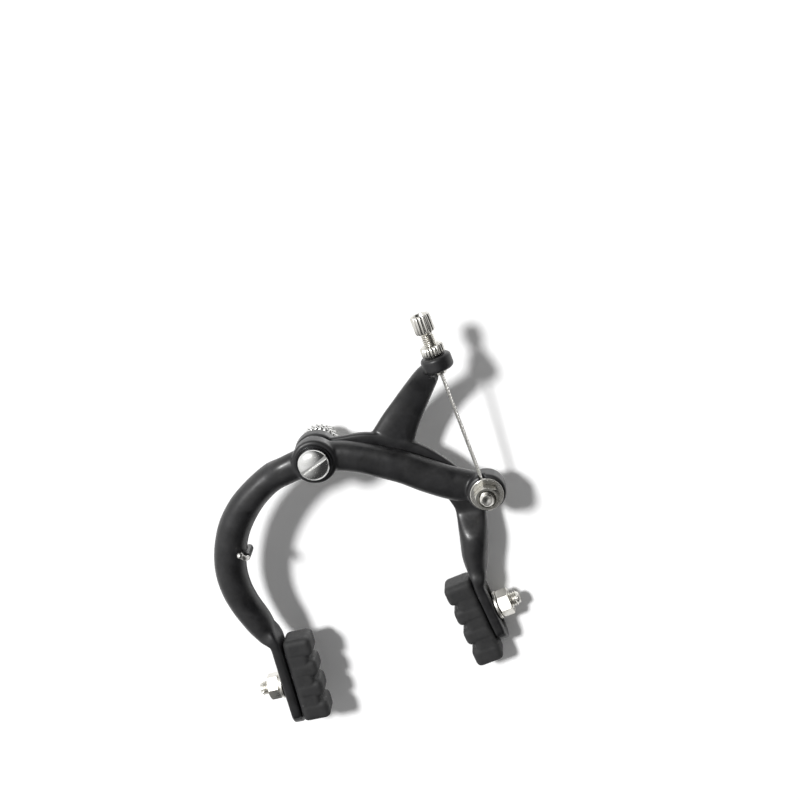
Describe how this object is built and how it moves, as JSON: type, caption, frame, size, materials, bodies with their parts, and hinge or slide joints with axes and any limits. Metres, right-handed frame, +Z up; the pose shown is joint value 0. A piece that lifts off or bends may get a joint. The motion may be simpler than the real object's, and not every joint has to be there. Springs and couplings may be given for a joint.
{
  "type": "side-pull caliper brake",
  "caption": "Bicycle rim brake: nested forged arms on one centre bolt, squeezed together by a cable, with a barrel adjuster, cable anchor, return spring and block pads.",
  "frame": {"origin": "on the centre bolt's axis, at the rear face of the washer that seats on the frame or fork", "axes": "+Y runs to the rear along the centre bolt, the front of the brake faces -Y, +Z is up and the pads hang below the bolt; +X is the side of the cable hanger and anchor"},
  "size_m": [0.1307, 0.0456, 0.1582],
  "materials": {
    "centre_bolt": "polished",
    "front_washer": "polished",
    "middle_washer": "satin",
    "rear_washer": "satin",
    "seat_washer": "ribbed rim",
    "toothed_washer": "ribbed rim",
    "mounting_nut": "polished",
    "spring_block": "satin",
    "return_spring": "bright wire",
    "front_arm": "gloss black over a forging",
    "rear_arm": "gloss black over a forging",
    "anchor_bolt": "polished",
    "anchor_washer": "polished",
    "anchor_nut": "polished",
    "barrel_adjuster": "fluted rim",
    "adjuster_lock_nut": "fluted rim",
    "wire_head": "satin",
    "inner_wire": "bright twisted wire",
    "left_pad_washer": "polished",
    "left_pad_nut": "polished",
    "left_pad_stud": "polished",
    "left_brake_block": "dull moulded rubber",
    "right_pad_washer": "polished",
    "right_pad_nut": "polished",
    "right_pad_stud": "polished",
    "right_brake_block": "dull moulded rubber"
  },
  "bodies": {
    "pivot": {"centre_bolt": "centre_bolt", "front_washer": "front_washer", "middle_washer": "middle_washer", "rear_washer": "rear_washer", "seat_washer": "seat_washer", "toothed_washer": "toothed_washer", "mounting_nut": "mounting_nut", "spring_block": "spring_block", "return_spring": "return_spring"},
    "left_side": {"front_arm": "front_arm", "anchor_bolt": "anchor_bolt", "anchor_washer": "anchor_washer", "anchor_nut": "anchor_nut"},
    "right_side": {"rear_arm": "rear_arm"},
    "wire": {"inner_wire": "inner_wire"},
    "cable_stop": {"wire_head": "wire_head"},
    "barrel": {"barrel_adjuster": "barrel_adjuster"},
    "lock_nut": {"adjuster_lock_nut": "adjuster_lock_nut"},
    "left_clamp": {"left_pad_washer": "left_pad_washer", "left_pad_nut": "left_pad_nut"},
    "left_pad": {"left_pad_stud": "left_pad_stud", "left_brake_block": "left_brake_block"},
    "right_clamp": {"right_pad_washer": "right_pad_washer", "right_pad_nut": "right_pad_nut"},
    "right_pad": {"right_pad_stud": "right_pad_stud", "right_brake_block": "right_brake_block"}
  },
  "joints": [
    {"name": "rear_arm_close", "type": "hinge", "parent": "pivot", "child": "right_side", "pos_m": [0, 0, 0], "axis": [0, 1, 0], "range_deg": [0, 12], "stiffness_Nm_per_rad": 0.9, "springref_deg": -28.65, "deforming": ["return_spring", "inner_wire"]},
    {"name": "front_arm_close", "type": "hinge", "parent": "pivot", "child": "left_side", "pos_m": [0, 0, 0], "axis": [0, 1, 0], "range_deg": [-12, 0], "stiffness_Nm_per_rad": 0.9, "springref_deg": 28.65},
    {"name": "wire_swing", "type": "hinge", "parent": "left_side", "child": "wire", "pos_m": [0.062, -0.02435, -0.034], "axis": [0, 1, 0], "range_deg": [0, 8]},
    {"name": "adjuster_travel", "type": "slide", "parent": "right_side", "child": "cable_stop", "axis": [-0.0258, 0, 0.9997], "range_m": [-0.004, 0.0024]},
    {"name": "adjuster_turn", "type": "hinge", "parent": "cable_stop", "child": "barrel", "pos_m": [0.0605, -0.02435, 0.0242], "axis": [-0.0258, 0, 0.9997], "range_deg": [-1810, 1090]},
    {"name": "lock_nut_turn", "type": "hinge", "parent": "right_side", "child": "lock_nut", "pos_m": [0.0605, -0.02435, 0.0242], "axis": [-0.0258, 0, 0.9997], "range_deg": [-180, 180]},
    {"name": "left_pad_height", "type": "slide", "parent": "left_side", "child": "left_clamp", "axis": [0.0872, 0, 0.9962], "range_m": [-0.0071, 0.0129]},
    {"name": "left_pad_angle", "type": "hinge", "parent": "left_clamp", "child": "left_pad", "pos_m": [-0.04735, -0.0164, -0.09489], "axis": [-0.9962, 0, 0.0872], "range_deg": [-30, 30]},
    {"name": "right_pad_height", "type": "slide", "parent": "right_side", "child": "right_clamp", "axis": [-0.0872, 0, 0.9962], "range_m": [-0.0075, 0.007]},
    {"name": "right_pad_angle", "type": "hinge", "parent": "right_clamp", "child": "right_pad", "pos_m": [0.04671, -0.0164, -0.08752], "axis": [0.9962, 0, 0.0872], "range_deg": [-30, 30]}
  ],
  "couplings": [
    {"joint": "front_arm_close", "follows": "rear_arm_close", "ratio": -1},
    {"joint": "wire_swing", "follows": "rear_arm_close", "ratio": 0.5933},
    {"joint": "adjuster_turn", "follows": "adjuster_travel", "rad_per_m": 7854}
  ]
}
